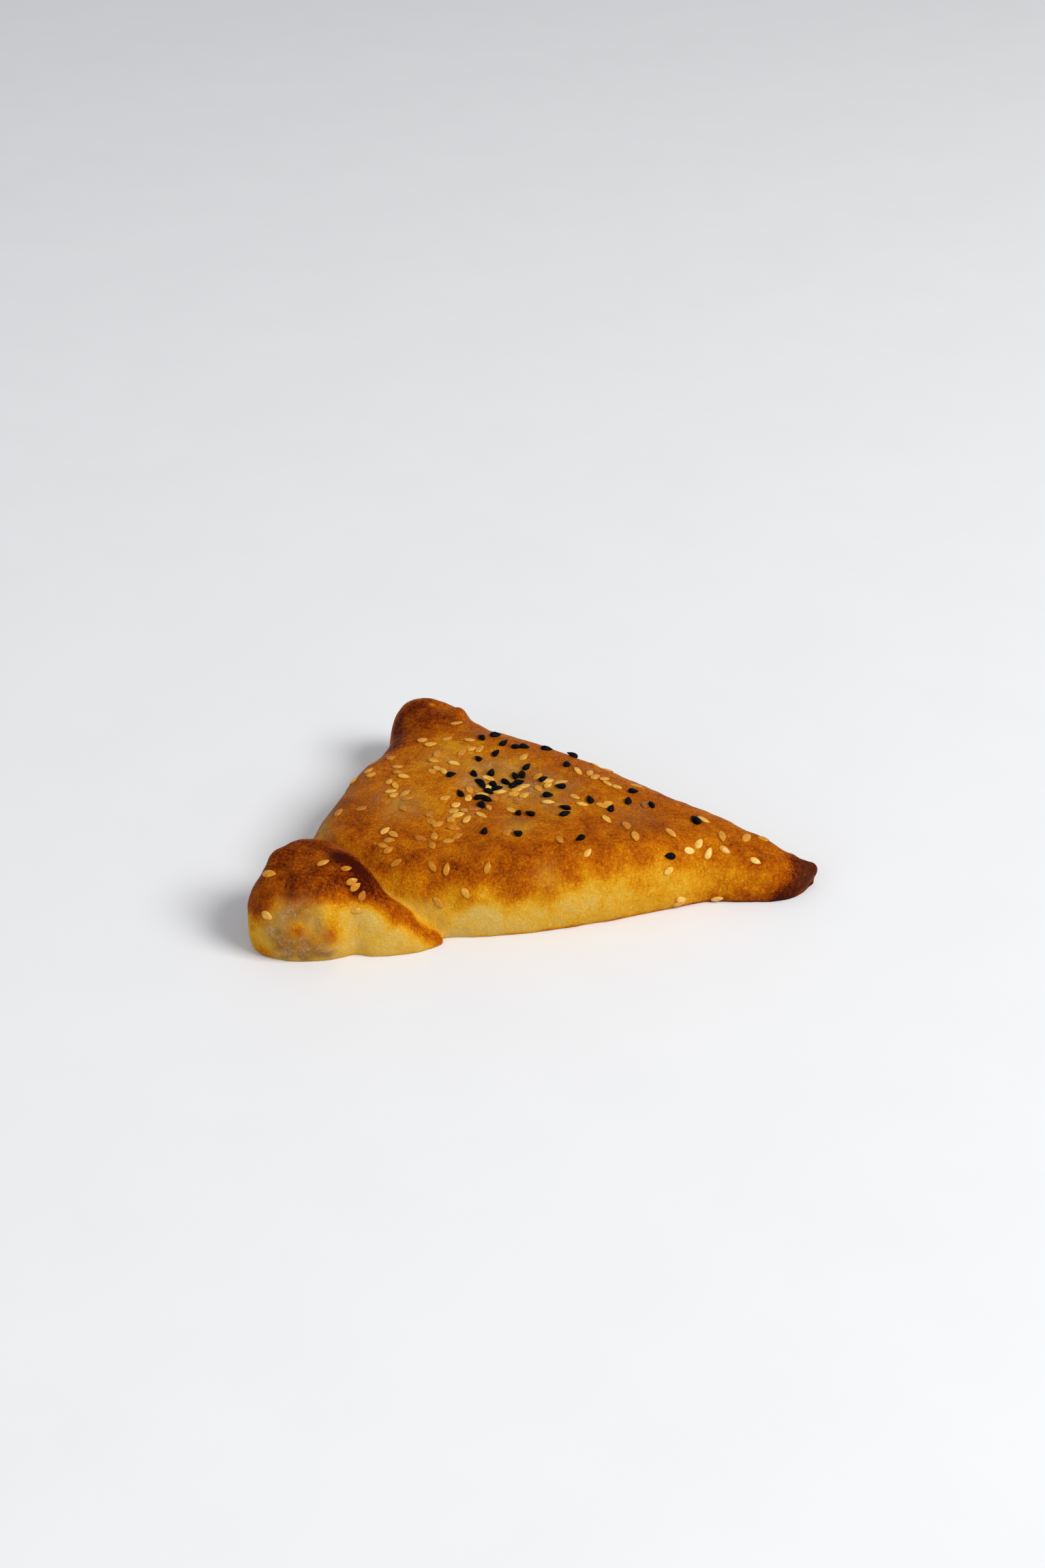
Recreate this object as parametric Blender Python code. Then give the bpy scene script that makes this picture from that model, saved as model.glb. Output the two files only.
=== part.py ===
"""A fatayer: one closed triangle of filled, baked bread dough.

The dough is a puffed three-cornered pillow with a shallow hollow in the middle. Its blunt left corner is
wrapped over by a thick lobe whose lip runs down across the corner, its back corner ends in a round knob, and
its right corner runs out to a thin pinched tip. All of it lies on one flat underside. Metres, +Z up; the
plan sizes below are in millimetres.
"""

import bmesh
import bpy
import numpy as np
from mathutils import Vector
from mathutils.geometry import delaunay_2d_cdt

MM = 0.001

SUNK = 1.0  # how far each pillow reaches below the underside before it is cut flat
SIDE_SHARE = 0.34  # where a side wall stands furthest out, as a share of the dough's height there
TUCK = 2.6  # how far, at most, the underside starts in from the furthest-out level
TUCK_SHARE = 0.24  # that distance where the dough is thin, as a share of the reach named there
LOWEST_TURN = 72  # degrees that a side wall turns under before it meets the underside
ROUNDNESS = 2.2  # power of the curve from side wall to top: 2 is a quarter circle, more is squarer
GRID = 2.0  # spacing of the points that carry the top surface
NEAR_EDGE = (0.3, 0.8, 1.6)  # insets of the closer rings of points along the outline
CLEAR_SHARE = 0.9  # of its inset that a point of those rings keeps clear of the whole outline
GRID_GAP = 1.0  # least distance from the innermost ring to a grid point
MERGE_GAP = 1e-6  # points closer than this count as one
SPREAD = 12.0  # how far each height named below spreads over its surroundings
REACH_SPREAD = 3.5  # how far each reach named below spreads over its surroundings
CURVE_STEPS = 24  # points on each stretch of a smoothed outline
TURN_STEPS = 7  # rings of points on the side wall, from the underside up to the furthest-out level
SKIN_GRAIN = 0.7  # cell size of the skin that joins the pillows into one
SKIN_PASSES = 2  # of smoothing over that skin
KEPT_SHARE = 0.077  # of the skin's faces
BELOW = ((-100, -100, -20), (100, 100, 0))  # all that is cut away under the dough
CRUST_COLOUR = (0.52, 0.25, 0.07, 1.0)
CRUST_ROUGHNESS = 0.5

# Plan outlines, anticlockwise: (x, y, reach), where reach is how far in from the side the top levels out.
BODY_OUTLINE = (
    (-52, -48, 9), (-38, -50.5, 9), (-21, -50.2, 10), (-2, -48, 11), (16, -43.5, 11), (32, -38.2, 10),
    (44, -33.6, 9), (56, -32.4, 8), (64.5, -32.4, 7), (69.6, -30.5, 6), (76.5, -22.9, 4), (72.4, -21.5, 6),
    (64, -17, 8), (53, -9, 12), (40, -0.5, 17), (28, 6.5, 20), (14, 15.5, 20), (-1, 25.5, 17.5),
    (-11, 32, 15), (-19, 39, 11), (-29, 44.5, 9), (-38, 44, 9), (-42, 37, 9), (-42.7, 28, 9),
    (-46.7, 19, 10), (-53.2, 6, 10), (-58.3, -8, 10), (-62.3, -20, 10), (-66, -30, 10), (-64, -42, 9),
)
LOBE_OUTLINE = (
    (-28, -49.8, 2), (-35, -49.3, 2), (-42, -47.3, 2.2), (-49, -41, 2.6), (-56, -34, 4), (-64, -31.6, 6),
    (-69.8, -36, 6), (-74.7, -44, 7), (-77.2, -50.5, 8), (-73.5, -57.4, 8), (-65, -60.6, 8),
    (-55.5, -60.2, 7), (-51, -58.4, 6), (-47.8, -57.1, 6.5), (-43.5, -57.8, 5), (-36.5, -57.2, 5),
    (-30, -55, 4), (-24.8, -51.4, 3),
)
KNOB_OUTLINE = (
    (-42.4, 30, 9), (-37, 23, 9), (-26, 22, 10), (-18, 27, 10), (-16.5, 35, 10), (-22, 43.5, 9),
    (-32, 47.5, 9), (-40.3, 45, 8), (-43.4, 38, 8),
)

# Heights of the tops at named places: (x, y, height).
BODY_HEIGHTS = (
    (-8, -7, 19.5), (-44, -40, 18.5), (-34, -42, 20), (-58, -30, 18), (-12, -36, 23.5), (6, -32, 23.5),
    (22, -27, 22.5), (36, -24, 20), (48, -22, 17), (58, -22, 14), (65, -24, 11), (75, -26, 4.2),
    (-30, -18, 24.5), (-50, -24, 20.5), (-45, -6, 21), (-38, 9, 21), (-38, 21, 19), (-26, 6, 25),
    (-14, 15, 25), (2, 8, 24.5), (16, -2, 23.5), (30, -9, 20.5), (44, -15, 17), (-29, 24, 20),
    (-18, 27, 20.6), (-30, 38, 20),
)
LOBE_HEIGHTS = (
    (-73, -48, 20), (-70, -42, 23), (-65, -39, 23.8), (-60, -38, 23.8), (-60, -47, 23.5), (-56, -42, 24.5),
    (-51, -46, 25), (-46, -49, 24), (-42, -51.5, 20), (-38.5, -52, 14), (-35, -52.3, 9.3), (-30, -52, 4.4),
    (-25, -51.5, 2),
)
KNOB_HEIGHTS = ((-31, 29, 21.5), (-35.5, 38, 24.2), (-28, 37, 21), (-23.5, 35.5, 22), (-40, 40, 20.5))
LOBE_SPREAD = 4.5

# The furrow that the body sinks into beneath the lobe's lip: (x, y) along it.
FURROW = ((-60, -27), (-54, -33), (-48, -39), (-42, -44.5), (-36, -47.5), (-30, -49.5), (-24, -51))
FURROW_DEPTH = 4.0
FURROW_WIDTH = 3.0


def smooth_loop(points, count):
    """A closed Catmull-Rom curve through the points, resampled to count points an even distance apart."""
    fixed = np.array(points, float)
    before, after, beyond = np.roll(fixed, 1, 0), np.roll(fixed, -1, 0), np.roll(fixed, -2, 0)
    steps = np.linspace(0, 1, CURVE_STEPS, endpoint=False)[:, None, None]
    curve = 0.5 * (
        2 * fixed
        + (after - before) * steps
        + (2 * before - 5 * fixed + 4 * after - beyond) * steps**2
        + (3 * fixed - before - 3 * after + beyond) * steps**3
    )
    curve = curve.transpose(1, 0, 2).reshape(-1, fixed.shape[1])
    closed = np.vstack([curve, curve[:1]])
    walked = np.concatenate([[0], np.cumsum(np.linalg.norm(np.diff(closed[:, :2], axis=0), axis=1))])
    at = np.linspace(0, walked[-1], count, endpoint=False)
    return np.stack([np.interp(at, walked, closed[:, i]) for i in range(fixed.shape[1])], axis=1)


def inward(edge):
    """The unit vectors that point in from each point of an anticlockwise loop."""
    along = np.roll(edge, -1, 0)[:, :2] - np.roll(edge, 1, 0)[:, :2]
    across = np.stack([-along[:, 1], along[:, 0]], axis=1)
    return across / np.linalg.norm(across, axis=1)[:, None]


def gaps(points, others):
    return np.linalg.norm(points[:, None, :2] - others[None, :, :2], axis=2)


def spread_value(points, places, reach):
    """The value named at the places, blended over the points by how near each place is."""
    squared = (gaps(points, places) / reach) ** 2
    weight = np.exp(-0.5 * (squared - squared.min(axis=1)[:, None]))
    return (weight @ places[:, 2]) / weight.sum(axis=1)


def furrow(plan):
    """How deep the furrow is at plan points."""
    ends = np.array(FURROW, float)
    along = np.linspace(0, len(ends) - 1, CURVE_STEPS * len(ends))
    line = np.stack([np.interp(along, np.arange(len(ends)), ends[:, i]) for i in range(2)], axis=1)
    return FURROW_DEPTH * np.exp(-((gaps(plan, line).min(axis=1) / FURROW_WIDTH) ** 2))


def top_height(plan, edge, heights, spread):
    """The height of the top at plan points: it swells up from the side wall and levels out within reach."""
    crest = spread_value(plan, heights, spread)
    reach = spread_value(plan, edge, REACH_SPREAD)
    inset = np.clip(gaps(plan, edge).min(axis=1) / reach, 0, 1)
    rise = (1 - (1 - inset) ** ROUNDNESS) ** (1 / ROUNDNESS)
    return crest * (SIDE_SHARE + (1 - SIDE_SHARE) * rise)


def inside(points, edge):
    """Which plan points lie within the closed loop, by counting the sides crossed on the way out."""
    start, end = edge[:, :2], np.roll(edge, -1, 0)[:, :2]
    x, y = points[:, 0:1], points[:, 1:2]
    spans = (start[:, 1] > y) != (end[:, 1] > y)
    rise = np.where(end[:, 1] == start[:, 1], 1, end[:, 1] - start[:, 1])
    crossing = start[:, 0] + (y - start[:, 1]) * (end[:, 0] - start[:, 0]) / rise
    return (spans & (x < crossing)).sum(axis=1) % 2 == 1


def pillow(name, outline, heights, spread=SPREAD, count=180, sunk_in=None):
    """A closed dough pillow: side walls that turn under, and a top whose heights are named.

    sunk_in gives how far the top lies below those heights at plan points.
    """
    edge = smooth_loop(outline, count)
    heights = np.array(heights, float)
    lead = inward(edge)
    tuck = np.minimum(TUCK, TUCK_SHARE * edge[:, 2:])
    side = SIDE_SHARE * spread_value(edge, heights, spread)
    made = bmesh.new()

    def ring(plan, height):
        return [made.verts.new((x * MM, y * MM, z * MM)) for (x, y), z in zip(plan, height)]

    loops = []
    for turn in np.radians(np.linspace(LOWEST_TURN, 0, TURN_STEPS)):
        drop = np.sin(turn) / np.sin(np.radians(LOWEST_TURN))
        plan = edge[:, :2] + lead * tuck * (1 - np.cos(turn)) / (1 - np.cos(np.radians(LOWEST_TURN)))
        loops.append(ring(plan, side - (side + SUNK) * drop))
    for lower, upper in zip(loops, loops[1:]):
        for i in range(count):
            j = (i + 1) % count
            made.faces.new((lower[i], lower[j], upper[j], upper[i]))
    low, high = edge[:, :2].min(axis=0), edge[:, :2].max(axis=0)
    spots = np.mgrid[low[0]:high[0]:GRID, low[1]:high[1]:GRID].reshape(2, -1).T
    spots = spots[inside(spots, edge)]
    spots = [spots[gaps(spots, edge).min(axis=1) > NEAR_EDGE[-1] + GRID_GAP]]
    for inset in NEAR_EDGE:
        closer = edge[:, :2] + lead * inset
        spots.append(closer[gaps(closer, edge).min(axis=1) > CLEAR_SHARE * inset])
    plan = np.vstack([edge[:, :2], *spots])
    sides = [(i, (i + 1) % count) for i in range(count)]
    flat, _, faces, *_ = delaunay_2d_cdt([Vector(p) for p in plan.tolist()], sides, [], 1, MERGE_GAP)
    flat = np.array([tuple(p) for p in flat])
    top = top_height(flat, edge, heights, spread)
    if sunk_in:
        top = np.maximum(top - sunk_in(flat), SIDE_SHARE * top)
    verts = loops[-1] + ring(flat[count:], top[count:])
    for face in faces:
        made.faces.new([verts[i] for i in face])
    made.faces.new(reversed(loops[0]))
    mesh = bpy.data.meshes.new(name)
    made.to_mesh(mesh)
    made.free()
    obj = bpy.data.objects.new(name, mesh)
    bpy.context.scene.collection.objects.link(obj)
    return obj


def block(low, high):
    """A plain block between two corners."""
    mesh = bpy.data.meshes.new("underside")
    made = bmesh.new()
    bmesh.ops.create_cube(made, size=1)
    for vert in made.verts:
        vert.co = [(a + b) / 2 * MM + c * (b - a) * MM for a, b, c in zip(low, high, vert.co)]
    made.to_mesh(mesh)
    made.free()
    obj = bpy.data.objects.new("underside", mesh)
    bpy.context.scene.collection.objects.link(obj)
    return obj


def boolean(obj, other, operation):
    step = obj.modifiers.new(f"{operation.lower()}_{other.name}", "BOOLEAN")
    step.operation = operation
    step.solver = "EXACT"
    step.object = other


def crust_material():
    made = bpy.data.materials.new("baked_dough")
    made.use_nodes = True
    surface = made.node_tree.nodes["Principled BSDF"]
    surface.inputs["Base Color"].default_value = CRUST_COLOUR
    surface.inputs["Roughness"].default_value = CRUST_ROUGHNESS
    surface.inputs["Metallic"].default_value = 0.0
    return made


def main():
    for old in list(bpy.data.objects):
        bpy.data.objects.remove(old, do_unlink=True)
    dough = pillow("dough", BODY_OUTLINE, BODY_HEIGHTS, sunk_in=furrow)
    lobe = pillow("lobe", LOBE_OUTLINE, LOBE_HEIGHTS, spread=LOBE_SPREAD, count=120)
    knob = pillow("knob", KNOB_OUTLINE, KNOB_HEIGHTS, count=80)
    boolean(dough, lobe, "UNION")
    boolean(dough, knob, "UNION")
    remesh = dough.modifiers.new("one_skin", "REMESH")
    remesh.mode = "VOXEL"
    remesh.voxel_size = SKIN_GRAIN * MM
    smooth = dough.modifiers.new("soft", "SMOOTH")
    smooth.factor = 0.5
    smooth.iterations = SKIN_PASSES
    fewer = dough.modifiers.new("fewer_faces", "DECIMATE")
    fewer.ratio = KEPT_SHARE
    boolean(dough, block(*BELOW), "DIFFERENCE")
    baked = bpy.data.meshes.new_from_object(dough.evaluated_get(bpy.context.evaluated_depsgraph_get()))
    dough.modifiers.clear()
    for old in list(bpy.data.objects):
        if old != dough:
            bpy.data.objects.remove(old, do_unlink=True)
    dough.data = baked
    baked.name = "dough"
    spots = np.array([tuple(vert.co) for vert in baked.vertices])
    low, high = spots.min(axis=0), spots.max(axis=0)
    middle = Vector(((low[0] + high[0]) / 2, (low[1] + high[1]) / 2, low[2]))
    for vert in baked.vertices:
        vert.co -= middle
    for face in baked.polygons:
        face.use_smooth = True
    baked.materials.clear()
    baked.materials.append(crust_material())
    return middle


main()
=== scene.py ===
"""The looks of a baked fatayer: its browned crust, the seeds on it, the floor, the lights and the camera.

Lengths are in mm unless named otherwise, and turned to metres where they are used. Places given as u, v are
pixels of the 1533 x 2300 image of the camera made here; each is found on the crust along the camera's ray.
"""

import math
import random
from typing import Callable, NamedTuple

import bmesh
import bpy
import numpy as np
from mathutils import Matrix, Vector, noise
from mathutils.bvhtree import BVHTree


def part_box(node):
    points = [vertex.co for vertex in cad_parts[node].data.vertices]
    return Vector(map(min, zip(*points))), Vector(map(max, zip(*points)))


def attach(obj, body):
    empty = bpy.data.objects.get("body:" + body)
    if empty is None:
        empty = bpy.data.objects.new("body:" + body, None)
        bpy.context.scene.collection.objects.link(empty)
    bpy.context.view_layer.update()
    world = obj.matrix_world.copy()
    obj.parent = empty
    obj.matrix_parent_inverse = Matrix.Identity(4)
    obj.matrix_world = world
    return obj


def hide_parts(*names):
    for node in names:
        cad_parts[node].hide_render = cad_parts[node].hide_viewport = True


MM = 0.001
SEED = 11

# Camera
IMAGE_SIZE = (1533, 2300)
CAMERA_AT = Vector((-0.003954, -0.559364, 0.370))  # metres
CAMERA_DOWN = math.radians(31.9)
LENS = 55.0
SENSOR = 36.0
CLIP_START = 10  # the nearest that it shows
MIDDLE = (740, 1215)  # the pixel at the middle of the pastry
SEARCH_STEPS = 30  # pixels that a place off the crust is moved towards the middle, at most

# Crust: its skin. Noise is given as (wavelength, height).
SKIN_GRAIN = 0.56  # size of the crust's faces
SMOOTH_PASSES = 9
NOISE_GAIN = 1.6  # brings Blender's noise to about -1 to 1
SWELLS = ((16.0, 0.40), (6.5, 0.23), (2.4, 0.08))
TIP = (75.5, -18.5, 3)  # the end of the long tip
CRINKLE = (2.4, 0.13)  # the wrinkles at the tip
CRINKLE_REACH = 16
UNDERSIDE = (1.2, 0.2)  # heights between which the skin goes over into the flat underside
DENTS = (  # single lumps and dents along the outline: (u, v, radius, rise)
    (400, 1257, 3.0, 1.0), (442, 1232, 3.2, -0.6), (651, 1033, 3.4, -1.5), (674, 1042, 2.6, 0.9),
    (704, 1068, 4.0, -1.0), (1080, 1317, 5.0, 0.6), (1112, 1230, 3.5, 0.9), (1130, 1239, 2.4, 0.6),
    (1194, 1297, 2.2, -1.1), (1197, 1272, 1.8, 0.4),
)

# The crease where the wrapped lobe meets the body, in plan; the lobe lies on its -Y side.
CREASE = (
    (-80, -24.6), (-63.4, -24.8), (-55.4, -27.4), (-48.4, -34.4), (-41.4, -40.7), (-34.4, -42.9),
    (-27.4, -43.6), (-24.4, -44.8), (-22.9, -60),
)
CREASE_DEPTH = 1.2
CREASE_WIDTH = 1.0
CREASE_SHIFT = 0.7  # of the groove's bottom to the body's side, so that the lobe's lip stands over it
CREASE_FACING = (0.2, 0.7)  # how much the crust faces up where the groove begins and where it is whole
LOBE_EDGE = (-0.4, 0.5)  # how far past the crease the looks of the lobe begin, and where they are whole

# Browning runs from 0, pale dough, to 1, burnt. Three sizes of noise make it uneven.
WAVELENGTHS = (13, 5, 2.2)
TOP_BROWN = 0.525
TOP_UNEVEN = (0.06, 0.08, 0.05)  # how much each size of noise changes it
LOW_BROWN = (0.04, 0.22)  # of the low walls, at the X of LOW_ENDS
LOW_ENDS = (-15, 28)
LOW_UNEVEN = (0.04, 0.04, 0.02)
RIM_BROWN = (0.06, 0.26)  # added at the very foot of the walls, at the X of RIM_ENDS
RIM_ENDS = (-25, 0)
RIM_HEIGHTS = (1.4, 0.2)  # where the foot begins and where it is whole
RIM_UNEVEN = (0, 0.6, 0)
BURNT = 1.12  # the most a place is browned before the fine mottling

# The upper edge of the pale dough, along which the low walls' browning goes over into the top's
FADE = (7.0, 3.2)  # half the height of that change, on the body and on the lobe
EDGE_UNEVEN = (2.4, 1.8, 0)
EDGE_HEIGHT = 5.0  # where no line of pixels gives it
EDGE_SINKS = 14  # how far it sinks near the tip, which is browned down to its foot
TIP_ENDS = (62, 72)  # the X where it starts to sink, and where it has sunk
FRONT_FACING = (-0.1, 0.35)  # how much the crust faces -Y where the lines begin to count, and where they do
LOBE_LINE = (
    (368, 1345), (385, 1338), (410, 1326), (440, 1322), (480, 1325), (520, 1324), (548, 1328),
    (575, 1348),
)
BODY_LINE = (
    (600, 1315), (650, 1320), (700, 1308), (740, 1322), (790, 1310), (830, 1305), (870, 1294),
    (910, 1281), (950, 1274), (990, 1262), (1040, 1264), (1080, 1275), (1110, 1300), (1140, 1320),
)

# Patches that are browner or paler than the rest: (u, v, radius, browning added)
BODY_PALER = (
    (473, 1222, 4.0, -0.16), (492, 1236, 4.0, -0.1), (575, 1175, 6.0, -0.1), (598, 1320, 4.0, -0.1),
    (600, 1178, 5.0, -0.14), (620, 1205, 4.0, -0.08), (630, 1130, 8.0, -0.17), (640, 1180, 6.0, -0.1),
    (645, 1222, 3.5, -0.09), (655, 1103, 6.0, -0.09), (680, 1105, 7.0, -0.16), (690, 1205, 6.0, -0.08),
    (697, 1321, 3.0, -0.09), (700, 1150, 7.0, -0.14), (716, 1312, 3.0, -0.14), (745, 1152, 8.0, -0.14),
    (760, 1120, 7.0, -0.12), (760, 1215, 4.0, -0.14), (790, 1172, 7.0, -0.12), (795, 1297, 4.0, -0.08),
    (805, 1280, 4.0, -0.24), (840, 1185, 5.0, -0.08), (850, 1290, 5.0, -0.14), (895, 1297, 4.0, -0.1),
    (945, 1272, 4.0, -0.07), (1120, 1293, 4.0, -0.1),
)
BODY_BROWNER_AND_SHADED = (
    (495, 1216, 4.0, 0.06), (500, 1180, 5.0, 0.1), (518, 1220, 5.0, 0.08), (520, 1195, 7.0, 0.2),
    (545, 1150, 6.0, 0.04), (545, 1250, 3.0, 0.16), (560, 1225, 6.0, 0.1), (570, 1295, 4.0, 0.1),
    (575, 1265, 5.0, 0.08), (590, 1262, 5.0, 0.09), (600, 1232, 5.0, 0.06), (620, 1070, 5.0, 0.14),
    (620, 1195, 4.0, 0.06), (620, 1296, 4.0, 0.07), (640, 1250, 5.0, 0.09), (640, 1345, 4.0, 0.05),
    # the patches at 708, 1172 and 770, 1146 are partly browner crust, partly painted shade around the black
    # seeds
    (660, 1270, 4.0, 0.12), (708, 1172, 5.0, 0.2), (720, 1210, 6.0, 0.07), (720, 1268, 5.0, 0.07),
    (720, 1296, 4.0, 0.07), (750, 1255, 6.0, 0.08), (770, 1097, 4.0, 0.15), (770, 1146, 4.0, 0.22),
    (770, 1195, 4.0, 0.1), (770, 1322, 4.0, 0.12), (775, 1245, 4.0, 0.08), (775, 1300, 4.0, 0.12),
    (797, 1245, 4.0, 0.06), (830, 1252, 6.0, 0.09), (840, 1210, 5.0, 0.07), (895, 1236, 6.0, 0.1),
    (900, 1203, 6.0, 0.06), (920, 1170, 5.0, 0.08), (945, 1245, 5.0, 0.07), (960, 1215, 6.0, 0.1),
    (970, 1172, 5.0, 0.12), (1020, 1218, 5.0, 0.07), (1045, 1320, 3.0, 0.12), (1060, 1305, 6.0, 0.16),
    (1064, 1320, 2.5, 0.22), (1070, 1270, 5.0, 0.06), (1092, 1320, 3.5, 0.3), (1095, 1245, 4.0, 0.06),
    (1105, 1308, 4.5, 0.3), (1118, 1320, 2.4, 0.24), (1120, 1248, 4.5, 0.2),
)
LOBE_PATCHES = (
    (370, 1325, 3.0, 0.12), (375, 1290, 4.0, 0.06), (375, 1385, 3.0, 0.24), (376, 1345, 2.5, 0.16),
    (390, 1398, 2.5, 0.3), (395, 1325, 4.0, 0.13), (405, 1262, 5.0, 0.2), (410, 1295, 5.0, 0.12),
    (412, 1380, 4.0, 0.2), (418, 1390, 1.8, 0.3), (422, 1318, 4.0, 0.19), (425, 1352, 1.4, 0.1),
    (430, 1245, 7.0, 0.2), (430, 1345, 4.0, 0.12), (435, 1285, 7.0, 0.2), (437, 1368, 2.2, 0.36),
    (445, 1392, 1.4, 0.2), (450, 1318, 4.0, 0.2), (455, 1262, 3.0, -0.02), (455, 1385, 5.0, 0.24),
    (462, 1400, 1.4, 0.25), (470, 1275, 6.0, 0.13), (478, 1340, 2.4, 0.08), (485, 1373, 2.8, 0.36),
    (492, 1352, 2.6, 0.12), (500, 1290, 5.0, 0.3), (520, 1320, 3.5, 0.16), (523, 1300, 4.0, 0.34),
)
# Bands along lines of pixels: (pixels, half width, browning reached)
BAND_STEPS = 12  # between two pixels of a line
BODY_BANDS = (
    (
        ((700, 1078), (770, 1092), (840, 1118), (920, 1152), (1000, 1187), (1080, 1222), (1150, 1256)),
        2.5, 0.58,
    ),
    (((1168, 1266), (1184, 1270)), 2.6, 0.94),
    (((1178, 1276), (1168, 1289)), 2.8, 0.90),
    (((1192, 1272), (1186, 1288), (1170, 1303), (1145, 1317)), 4.2, 1.0),
    (((583, 1092), (582, 1070), (590, 1052), (606, 1037), (624, 1034)), 4.5, 0.88),
    (((618, 1055), (640, 1050), (664, 1054)), 3.6, 0.83),
    (((672, 1047), (690, 1064), (706, 1074)), 2.6, 0.66),
    (((632, 1034), (636, 1034)), 0.9, 0.4),
)
LOBE_BANDS = (
    (((420, 1236), (450, 1236), (480, 1244), (500, 1257)), 2.0, 0.84),
    (((500, 1257), (520, 1269), (538, 1284), (552, 1302)), 2.9, 1.12),
    (((552, 1302), (562, 1316), (576, 1330)), 2.7, 0.88),
    (((576, 1332), (594, 1347), (614, 1361), (630, 1371), (648, 1379)), 2.5, 0.62),
)

# The pale, floury strip of the body beside the crease
STRIP_ENDS = (-53, -47)  # the X where it starts, and where it is whole
STRIP_OFF = 0.9  # from the crease
STRIP_WIDTH = 0.8
STRIP_BROWN = 0.14
STRIP_SHARE = 0.8  # how much of the browning there it replaces
STRIP_FLOUR = 0.35

# Floury grey patches: (u, v, radius, strength); a negative strength keeps flour off
BODY_FLOUR = (
    (466, 1203, 4.0, 0.5), (471, 1222, 5.0, 0.7), (484, 1192, 4.5, 0.3), (490, 1238, 3.0, 0.4),
    (500, 1150, 6.0, 0.3), (545, 1168, 7.0, 0.22), (580, 1195, 4.0, 0.3), (590, 1172, 4.5, 0.5),
    (612, 1184, 3.5, 0.35), (640, 1110, 5.0, 0.25), (690, 1190, 5.0, 0.25), (695, 1148, 4.5, 0.55),
    (700, 1125, 6.0, 0.45), (740, 1128, 6.0, 0.45), (745, 1158, 6.0, 0.5), (760, 1208, 4.0, 0.55),
    (785, 1140, 5.0, 0.4), (790, 1165, 6.0, 0.5), (803, 1284, 3.0, 0.25), (820, 1185, 4.0, 0.5),
    (830, 1150, 5.0, 0.3), (930, 1196, 6.0, 0.28), (1182, 1284, 5.0, 0.06),
)
LOBE_FLOUR = (
    (402, 1362, 3.5, 0.7), (412, 1400, 2.8, 0.65), (418, 1387, 4.2, 0.75), (425, 1343, 3.8, 0.75),
    (434, 1364, 2.0, -0.5), (445, 1402, 3.4, 0.75), (452, 1337, 3.2, 0.7), (455, 1390, 4.4, 0.85),
    (468, 1359, 2.7, 0.7), (480, 1399, 2.8, 0.7), (490, 1348, 2.6, -0.7),
)
FLOUR_UNEVEN = (0, 0, 0.4)

# The crust's colours, linear
CRUST_TONES = (  # (browning, colour)
    (0.00, (0.71, 0.47, 0.115)), (0.14, (0.74, 0.39, 0.026)), (0.28, (0.67, 0.268, 0.004)),
    (0.42, (0.54, 0.152, 0.002)), (0.56, (0.42, 0.084, 0.001)), (0.70, (0.285, 0.045, 0.001)),
    (0.84, (0.16, 0.021, 0.001)), (0.94, (0.085, 0.009, 0.001)), (1.00, (0.050, 0.005, 0.001)),
)
PALE_CALM = 0.48  # the share of the mottling that shows on pale dough
CALM_ENDS = (0.1, 0.5)  # the browning of pale dough, and the browning where the mottling is whole
FLECK_COLOUR = (0.70, 0.335, 0.014, 1)  # of the small pale flecks in the crust
FLECK_STRENGTH = 0.58
FLECK_SPECKS = (0.53, 0.61)  # the noise of the specks, and of the clouds, where flecks begin and are whole
FLECK_CLOUDS = (0.42, 0.56)
FLECK_FADE = (1.0, 0.7)  # the browning where there are none, and where they are whole
FLOUR_TONES = ((0.0, (0.16, 0.068, 0.012)), (0.5, (0.33, 0.168, 0.052)), (1.0, (0.56, 0.35, 0.17)))
FLOUR_COVER = 0.82
FLOUR_TONE = 0.42
CRUST_ROUGHNESS = 0.42
ROUGHNESS_SPREAD = 0.5


class Grain(NamedTuple):
    """One size of noise in the crust's material."""

    scale: float  # per metre
    detail: float
    roughness: float
    distortion: float
    browning: float  # how much it changes the browning
    relief: float = 0.0  # its height beside the others'
    cover: float = 0.0  # how much it changes how thick flour lies
    dust: float = 0.0  # how much it changes the flour's tone
    squeeze: tuple = (1, 1, 1)  # of its place along X, Y and Z


GRAINS = {
    "mottle": Grain(330, 5, 0.65, 0.6, browning=0.40, cover=1.2, dust=2.6),
    "cloud": Grain(700, 5, 0.75, 0.6, browning=0.38, relief=0.9),
    "grain": Grain(1200, 4, 0.75, 0.8, browning=0.76, relief=0.9, cover=1.3, dust=1.6),
    "streak": Grain(1500, 3, 0.6, 0.3, browning=0.38, relief=0.5, squeeze=(1, 1, 0.25)),
    "speck": Grain(2500, 3, 0.7, 0.5, browning=0.78, relief=0.5, dust=2.0),
}

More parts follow.
